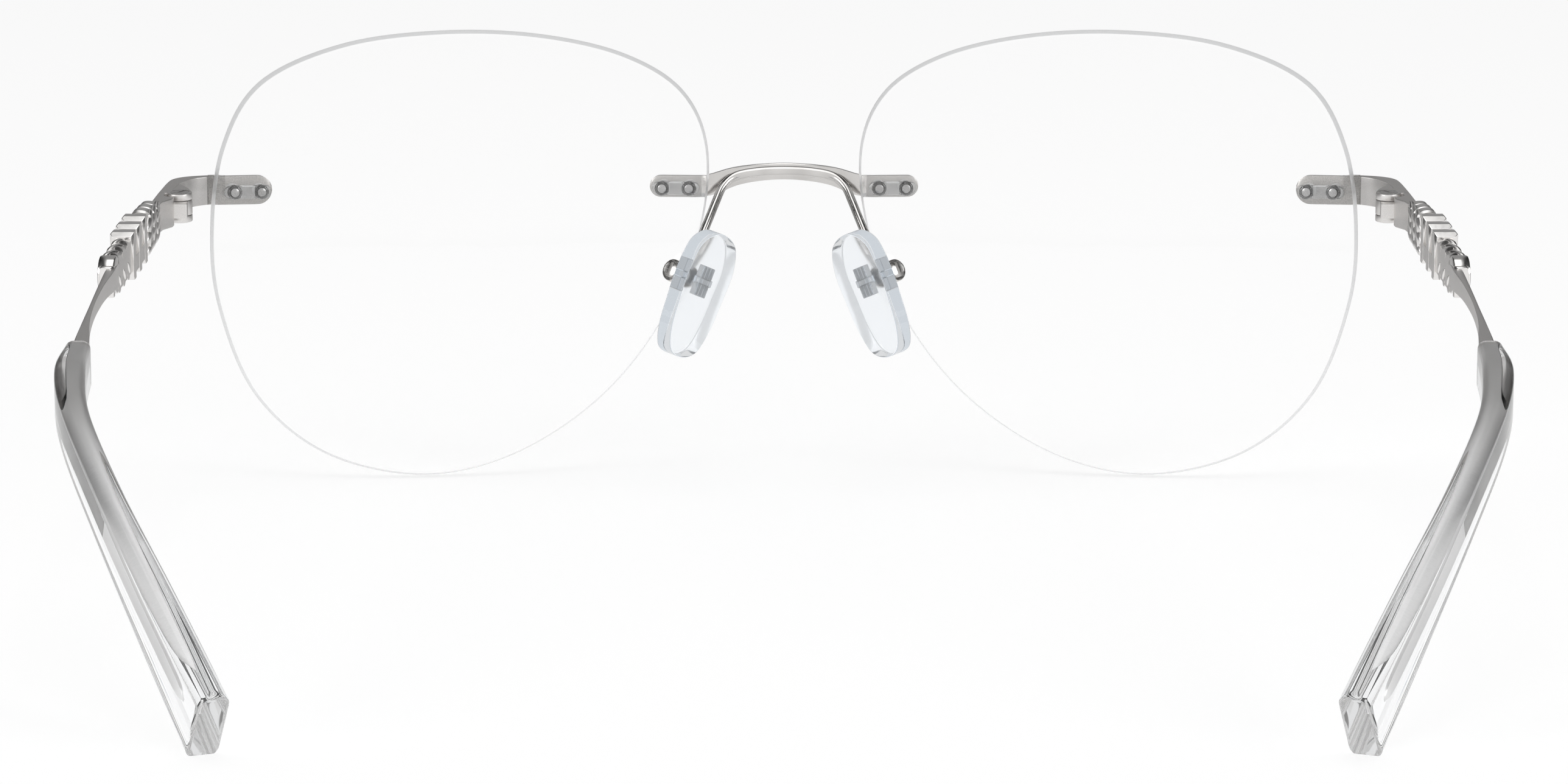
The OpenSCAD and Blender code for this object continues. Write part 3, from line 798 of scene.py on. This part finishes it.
lean_up = LEANING.to_3x3() @ Vector((0, 0, 1))
BRIDGE_HALF = [(8.0, 2.2, 7.5, 0.95, 2.3), (5.6, 2.8, 8.3, 1.1, 2.0), (3.0, 3.45, 8.7, 1.2, 1.85)]
half = plate_stations(AT_NOSE_PINS, 3.1, -2.3, 2.4)
half += [[*(LEANING @ Vector(s[:3])), s[3], s[4], *lean_up] for s in BRIDGE_HALF]
crown = [[*(LEANING @ Vector((0, 3.75, 8.85))), 1.2, 1.8, *lean_up]]
other_half = [[-s[0], *s[1:5], -s[5], s[6], s[7]] for s in reversed(half)]
bridge_bar = swept(flowing(half + crown + other_half, 4), 0.25, 3)
print("bridge faces:", len(bridge_bar.faces))

# %% [markdown]
# Two steel pins stand on the back of every plate and go through the lens into a plug. The arch is
# polished, while the plates are matt where they lie on the lens.


# %% Bridge with its pins
def pins(at):
    pair = [placed(rod(PIN_D, (x, -0.9, 0), (x, LENS_T + 0.4, 0), 0.2), at)
            for x in PIN_SIDES]
    return [painted(pin, lambda f: 2) for pin in pair]


MATT_PLATE_X = 9.0
mirror_x = Matrix.Scale(-1, 4, (1, 0, 0))
painted(bridge_bar, lambda f: int(abs(f.calc_center_median().x) > MATT_PLATE_X))
bridge_parts = [bridge_bar] + pins(AT_NOSE_PINS) + [placed(p, mirror_x) for p in pins(AT_NOSE_PINS)]
bridge = make_piece("bridge_look", bridge_parts, [polished, bridge_plate, pin_steel], "front", "bridge")
print("bridge polygons:", len(bridge.data.polygons))

# %% [markdown]
# One round wire carries both nose pads. It is brazed along the back of the bridge, leaves it at the
# bends and runs back to the pads. It is swept like the bridge, with corners so round that the section
# is a circle.

# %% Pad-arm wire
WIRE_HALF = [(0, 3.7, 8.6), (3, 3.45, 8.5), (5.4, 2.9, 8.1), (6.8, 1.9, 7.1), (7.6, 0.5, 5.6),
             (8.4, -1.1, 3.9), (9.3, -2.7, 2.1), (10.5, -4.3, 0.4), (11.8, -5.5, -1.0)]
WIRE_D = 0.95
wire_line = [(-x, y, z) for x, y, z in reversed(WIRE_HALF[1:])] + WIRE_HALF
wire = swept([[*p, WIRE_D, WIRE_D] for p in flowing(wire_line, 6)], WIRE_D / 2 - 0.01, 5)
make_piece("pad_arm_wire_look", [wire], [polished], "front", "pad_arm_wire")
print("wire faces:", len(wire.faces))

# %% [markdown]
# An end piece starts as a plate on the lens, leaves it past the edge and bends back to the hinge in
# one piece of blasted metal. The plate, and the stem as far as it lies over the lens, are painted
# darker: painted shade where they are seen through the lens. The plate is swept on the lens. The
# stem's width changes in plan while its height is even, so it is drawn as an outline from above and
# pulled up.

# %% Plate and stem of an end piece
HINGE = Vector((66.2, -10.1, 0))
HINGE_LOW, HINGE_HIGH, KNUCKLE_D = 5.8, 9.0, 2.8
end_plate = swept(flowing(plate_stations(AT_END_PINS, -3.1, 3.9, 3.2), 3), 0.12, 2)
STEM_OUTER = [(62.0, -1.0), (63.8, -1.45), (65.8, -2.0), (67.3, -3.1), (67.9, -5.0), (68.5, -10.2)]
STEM_INNER = [(67.0, -10.2), (66.9, -8.0), (66.5, -5.6), (65.4, -3.5), (63.8, -2.3), (62.0, -1.75)]


def slab(plan, low, high, rounding=0.1):
    """An outline in plan, pulled up from low to high, with softened edges."""
    shape = bmesh.new()
    face = shape.faces.new([shape.verts.new((x, y, low)) for x, y in plan])
    pulled(shape, [face], (0, 0, high - low))
    bmesh.ops.recalc_face_normals(shape, faces=shape.faces)
    return soften(shape, rounding, 2, 30)


stem_plan = [p for line in (STEM_OUTER, STEM_INNER) for p in flowing(line, 5)]
stem_bar = slab(stem_plan, HINGE_LOW, HINGE_HIGH)
at_hinge = Matrix.Translation((0, HINGE.y, 0))
placed(stem_bar, at_hinge @ turned(1.0, "X") @ at_hinge.inverted())
# Painted shade: the plate, and the stem up to this x, get the darker metal.
SHADED_STEM_X = 63.7
painted(end_plate, lambda f: 1)
painted(stem_bar, lambda f: int(f.calc_center_median().x < SHADED_STEM_X))
print("stem faces:", len(stem_bar.faces))

# %% [markdown]
# Two knuckles of the hinge sit on tongues that are flush with the stem's top and bottom. The third,
# between them, belongs to the temple.


# %% End pieces
def knuckle(low, high):
    """A hinge barrel, as tall as its place between the others."""
    return rod(KNUCKLE_D, (HINGE.x, HINGE.y, low), (HINGE.x, HINGE.y, high), 0.1, 40)


TONGUE_PLAN = [(67.6, -5.6), (66.5, -5.6), (66.0, -6.7), (65.3, -8.2), (64.85, -9.7), (66.2, -10.3),
               (67.6, -10.2)]
KNUCKLE_H, KNUCKLE_PLAY = 0.75, 0.03
outer_knuckles = (HINGE_LOW, HINGE_HIGH - KNUCKLE_H)
tongues = [slab(TONGUE_PLAN, low, low + KNUCKLE_H, 0.08) for low in outer_knuckles]
barrels = [knuckle(low, low + KNUCKLE_H) for low in outer_knuckles]
make_pair("end_piece", [end_plate, stem_bar] + pins(AT_END_PINS) + tongues + barrels,
          [blasted, plate_metal_painted_shade, pin_steel], "front")

# %% [markdown]
# The hinge screw shows only its slotted head, flush with the top knuckle, and its end below. The slot
# is cut right across with a flat blade of a box.

# %% Hinge screws
def blade(width, depth, length, top):
    """A box that cuts a slot down from the top, along Y."""
    return cuboid((-width / 2, -length / 2, top - depth), (width / 2, length / 2, top + depth))


def slotted(head_d, head_t, shank_d, length, slot):
    """A screw that stands on its end: the shank up to zero, the head above it."""
    head = carve(rod(head_d, (0, 0, 0), (0, 0, head_t), 0.08), [blade(slot, head_t * 0.6, 4, head_t)])
    return [head, rod(shank_d, (0, 0, -length), (0, 0, 0.05), 0.1)]


hinge_screw = [placed(s, Matrix.Translation((HINGE.x, HINGE.y, HINGE_HIGH - 0.28))
                      @ turned(35, "Z"))
               for s in slotted(head_d=2.1, head_t=0.3, shank_d=1.2, length=2.9, slot=0.35)]
make_pair("hinge_screw", hinge_screw, [screw_metal], "front")

# %% [markdown]
# A temple begins with a block that carries the middle knuckle, runs back as a flat strip under the
# ornament, thins to a springy waist, widens again and ends as the core wire inside the clear tip.
# The block is a flat outline pulled up. The strip is swept, with its width and height at each place.

# %% Temple block and strip
BLOCK_PLAN = [(68.5, -10.38), (69.0, -17.0), (68.0, -17.0), (67.6, -15.0), (66.7, -13.5), (66.6, -12.6),
              (67.75, -12.0), (67.75, -10.38)]
block = slab(BLOCK_PLAN, HINGE_LOW, HINGE_HIGH)
AT_TEMPLE = Matrix.Translation((68.2, -14.0, 7.55)) @ turned(3.6, "Z")
STRIP_T, STRIP_H = 0.9, 2.6
straight = [[*(AT_TEMPLE @ Vector((0, -d, 0))), STRIP_T, STRIP_H] for d in (1.0, 8.0, 16.0, 24.0, 31.0)]
SPRING = [(70.25, -50, 7.9, 0.95, 2.2), (70.45, -55.5, 8.1, 0.65, 1.8), (70.55, -61, 8.2, 0.5, 1.6),
          (70.55, -67, 8.3, 0.5, 1.45), (70.45, -74, 8.3, 0.8, 1.4), (70.1, -82, 8.3, 1.5, 1.4)]
CORE = [(69.95, -88, 8.1, 1.5, 1.6), (69.6, -96, 7.4, 1.4, 2.0), (68.2, -105.5, 5.1, 1.3, 2.1),
        (64.3, -117, 0.3, 1.2, 2.0), (59.1, -129.5, -6.1, 1.1, 1.7), (55.6, -137.2, -10.6, 1.1, 1.5),
        (54.8, -139.2, -11.8, 0.25, 0.35)]
# Where the core begins, and where the painted shade on its outer side ends, in millimetres back.
CORE_FROM, PAINTED_SHADE_TO = 86, 119


def strip_finish(f):
    """Blasted up to the tip. In its front part the core's outer side is painted dark: painted shade."""
    back = -f.calc_center_median().y
    outward = f.normal.x if back < PAINTED_SHADE_TO else 0.0
    return 0 if back < CORE_FROM or outward < -0.5 else 1 if outward > 0.5 else 2


strip = painted(swept(flowing(straight + SPRING + CORE, 12), 0.1, 2), strip_finish)
print("strip faces:", len(strip.faces))

# %% [markdown]
# The middle knuckle turns between the other two with a hair of play, and a web joins it to the block.

# %% Temples
web_low = HINGE_LOW + KNUCKLE_H + KNUCKLE_PLAY
web_high = HINGE_HIGH - KNUCKLE_H - KNUCKLE_PLAY
web = soft_block((HINGE.x - 1.0, HINGE.y - 2.6, web_low), (HINGE.x + 1.4, HINGE.y, web_high), 0.08)
make_pair("temple", [block, strip, knuckle(web_low, web_high), web], [blasted, painted_shade_metal, core_metal],
          "temple_{}_arm")

# %% [markdown]
# The ornament is a small polished casting over the strip: slanted cords in front, three stepped
# plates with chamfered edges, a braid of leaf shapes, and a round collar at the end. Each plate is a
# cube, stretched and sliced along its edges, because a bevel has one width all round and the cast
# chamfers taper. The leaves are spheres drawn out and turned, half sunk into the core. The inner
# side stays matt.

# %% Ornament studs and leaves
def sliced(shape, place, outward):
    """Cut off what lies outward of a plane and close the cut."""
    everything = list(shape.verts) + list(shape.edges) + list(shape.faces)
    bmesh.ops.bisect_plane(shape, geom=everything, dist=1e-5, plane_co=place, plane_no=outward,
                           clear_outer=True)
    rim = [e for e in shape.edges if len(e.link_faces) == 1]
    if rim:
        bmesh.ops.contextual_create(shape, geom=rim)
    return shape


def stud(distance, length, height, inner, outer, chamfer=0.0):
    """A block across the temple. The chamfer takes off its rear edges and its outer top edge."""
    rear, top = -distance - length / 2, height / 2
    shape = cuboid((inner, rear, -top), (outer, rear + length, top))
    if chamfer:
        for sign in (1, -1):
            sliced(shape, (0, rear, sign * (top - chamfer)), (0, -1, sign))
            sliced(shape, (outer - 0.25, 0, sign * top), (1, 0, sign))
        sliced(shape, (outer, rear + 0.3, 0), (1, -1, 0))
        sliced(shape, (inner, rear + 0.4, top), (-1, -1, 0.14))
    return soften(shape, 0.05, 2, 20)


def leaf(place, length, width, thick, turn):
    """A drawn-out sphere: length along the temple, turned about X, Y and Z in degrees."""
    shape = bmesh.new()
    bmesh.ops.create_uvsphere(shape, u_segments=20, v_segments=12, radius=0.5)
    bmesh.ops.scale(shape, vec=(width, length, thick), verts=shape.verts)
    around = [turned(degrees, axis) for degrees, axis in zip(turn, "XYZ")]
    return placed(shape, Matrix.Translation(place) @ around[2] @ around[1] @ around[0])


def cord_loop(distance, height):
    """A cord round the temple, leaning forward at the top, with wide chamfers."""
    top, tilt = height / 2, 0.18
    around = [(0.3, -top + 0.38), (-0.2, -top + 0.5), (-0.42, -top + 1.1), (-0.42, top - 1.2),
              (-0.3, top - 0.6), (0.15, top - 0.38), (0.75, top - 0.38), (1.0, top - 0.62),
              (1.05, top - 1.2), (1.05, -top + 1.1), (0.85, -top + 0.5), (0.3, -top + 0.38)]
    stations = [[x, tilt * z - distance, z, 0.75, 1.9, 0, 1, 0] for x, z in around]
    return swept(flowing(stations, 4), 0.22, 1)


print("ornament tools:", [f.__name__ for f in (sliced, stud, leaf, cord_loop)])

# %% [markdown]
# The cast relief sits on a core block, from the hinge to the strip: cords with their strands first,
# then the braid. The plates and the collar are cut bright on a mill, so they get a finish of their own.

# %% Ornament
FLANK = ((-0.46, 0, 0), (-1, 0, 0))
cast = [stud(18.0, 28.8, 3.5, -0.44, 0.95)]
for distance, height in ((4.8, 4.2), (7.4, 4.6), (10.0, 4.9)):
    cast.append(cord_loop(distance, height))
    for low in (-1.3, 0.0, 1.3):
        cast.append(leaf((-0.45, -distance - 0.2, low * height / 4.9), 3.4, 0.95, 1.2, (32, 0, 0)))
for row in range(3):
    distance = 24.0 + 3.1 * row
    for top in (1, -1):
        cast.append(sliced(leaf((0.0, -distance, top * 1.5), 3.1, 1.1, 1.2, (0, 0, -30)), *FLANK))
        cast.append(leaf((0.7, -distance + 1.5, top * 1.45), 2.9, 1.05, 1.2, (0, 0, 30)))
    cast.append(leaf((-0.43, -distance - 0.4, -0.75), 1.7, 0.35, 0.6, (-50, 0, 0)))
for distance in (15.6, 19.6):
    cast.append(soft_block((-0.67, -distance - 1.2, -2.0), (0.9, -distance + 1.2, -0.3), 0.05))
mirror_cut = [stud(distance, 1.7, 5.2, -0.7, 1.85, 0.45) for distance in (13.6, 17.6, 21.6)]
mirror_cut.append(rod(4.0, (-0.46, -32.4, 0.3), (1.35, -32.4, 0.3), 0.25, 64))
mirror_cut.append(stud(34.5, 1.0, 3.3, -0.47, 1.05, 0.12))
inward = AT_TEMPLE.to_3x3() @ Vector((-1, 0, 0))
for shapes, finish in ((cast, 2), (mirror_cut, 0)):
    for shape in shapes:
        painted(placed(shape, AT_TEMPLE), lambda f: 1 if f.normal.dot(inward) > 0.96 else finish)
make_pair("temple_ornament", cast + mirror_cut, [cut_metal, blasted, cast_metal], "temple_{}_arm",
          sharp=24)

# %% [markdown]
# The tips are clear plastic, slipped over the core wire and bent down behind the ear. Each is one
# sweep with generous corners. The core stays visible inside, so the tip needs no bore of its own.
# The pair rests on the tips, so each is sliced flat where it meets the table.

# %% Temple tips
TIP = [(70.2, -84.5, 7.1, 2.5, 5.2), (70, -95, 7, 3.1, 5.5), (68.5, -105, 5, 2.65, 5.3),
       (64.4, -117, 0.2, 2.7, 5.7), (59.1, -129.5, -6.1, 3.2, 6.6), (53.2, -141.77, -13.9, 3.3, 8.0)]
tip = swept(flowing(TIP, 30), 0.85, 8, 0.45)
table = STAND.inverted()
sliced(tip, table.translation, table.to_3x3() @ Vector((0, 0, -1)))
make_pair("temple_tip", [tip], [tip_clear], "temple_{}_arm", sharp=50)

# %% [markdown]
# The nose pads are soft silicone, clear with a frosted face towards the nose. The outline is drawn
# flat, pulled to its thickness and rounded, more at the back than at the face. The back is narrower at
# the front edge, so light passes there instead of being thrown back. The two finishes are told apart
# by the way each face looks.

# %% Nose pads
AT_PAD = (Matrix.Translation((11.8, -5.5, -1.0)) @ turned(-14, "X") @ turned(-21, "Y")
          @ turned(35, "Z"))
PAD_OUTLINE = [(0.02, 0.5), (0.34, 0.44), (0.5, 0.25), (0.5, 0.0), (0.47, -0.22), (0.36, -0.42),
               (0.1, -0.5), (-0.22, -0.48), (-0.4, -0.32), (-0.47, -0.08), (-0.5, 0.14), (-0.44, 0.36),
               (-0.24, 0.47)]
PAD_L, PAD_W, PAD_T, PAD_FACE = 14.2, 8.0, 1.95, -4.8
pad = bmesh.new()
outline = [(PAD_FACE, y * PAD_W - 0.6, z * PAD_L - 1.5) for y, z in flowing(PAD_OUTLINE, 6, closed=True)]
face = pad.faces.new([pad.verts.new(p) for p in outline])
far = pulled(pad, [face], (PAD_T, 0, 0))
REAR_EDGE = Matrix.Translation((0, PAD_W / 2 + 0.6, 0))
bmesh.ops.scale(pad, vec=(1, 0.86, 1), space=REAR_EDGE, verts=far)
bmesh.ops.recalc_face_normals(pad, faces=pad.faces)
near_rim = [e for e in pad.edges if all(v.co.x < PAD_FACE + 0.1 for v in e.verts)]
far_rim = [e for e in pad.edges if all(v.co.x > PAD_FACE + PAD_T - 0.15 for v in e.verts)]
for rim, width in ((near_rim, 0.12), (far_rim, 0.4)):
    rounded(pad, rim, width, 4)
painted(pad, lambda f: int(f.normal.x < -0.95))
placed(pad, AT_PAD)
pads = make_pair("nose_pad", [pad], [pad_glossy, pad_frosted], "pad_{}", sharp=40)

# %% [markdown]
# Each pad has a harder lug moulded into it, with a tab that goes into the metal box at the end of the
# wire. Its rear faces are painted as clear as the pad, as painted light on the side seen from behind,
# so the lug hardly shows from there. The box is a short barrel with a slot, and a tiny screw holds the
# tab in it, so the pad rocks.

# %% Lugs, boxes and pad screws
lug = [soft_block((-4.5, -1.8, low), (-2.9, 0.2, low + 1.45)) for low in (-1.7, 0.25)]
lug += [soft_block((-4.68, y, low), (-4.3, y + 0.28, low + 1.25), 0.06)
        for low in (-1.6, 0.35) for y in (-1.75, -1.1, -0.45)]
lug += [soft_block((-4.1, -1.6, -0.4), (-2.6, 0.8, 0.4)),
        soft_block((-2.9, -0.5, -0.8), (0.0, 0.5, 0.8)), rod(1.6, (0, -0.5, 0), (0, 0.5, 0), 0.1)]
# Painted light: faces that point back get the pad's clear plastic.
lug = [placed(painted(s, lambda f: int(f.normal.y < -0.5)), AT_PAD) for s in lug]
make_pair("pad_insert", lug, [lug_clear, pad_glossy], "pad_{}")

slot_cut = soft_block((-2.0, -0.65, -2.0), (0.95, 0.65, 2.0))
box = carve(rod(2.5, (0, -1.15, 0), (0, 1.15, 0), 0.15, 40), [slot_cut])
make_pair("pad_box", [placed(box, AT_PAD)], [polished], "front")

pad_screw = [placed(s, AT_PAD @ Matrix.Translation((0, -1.15, 0)) @ turned(90, "X"))
             for s in slotted(head_d=1.7, head_t=0.3, shank_d=0.9, length=2.2, slot=0.35)]
make_pair("pad_screw", pad_screw, [screw_metal], "front")
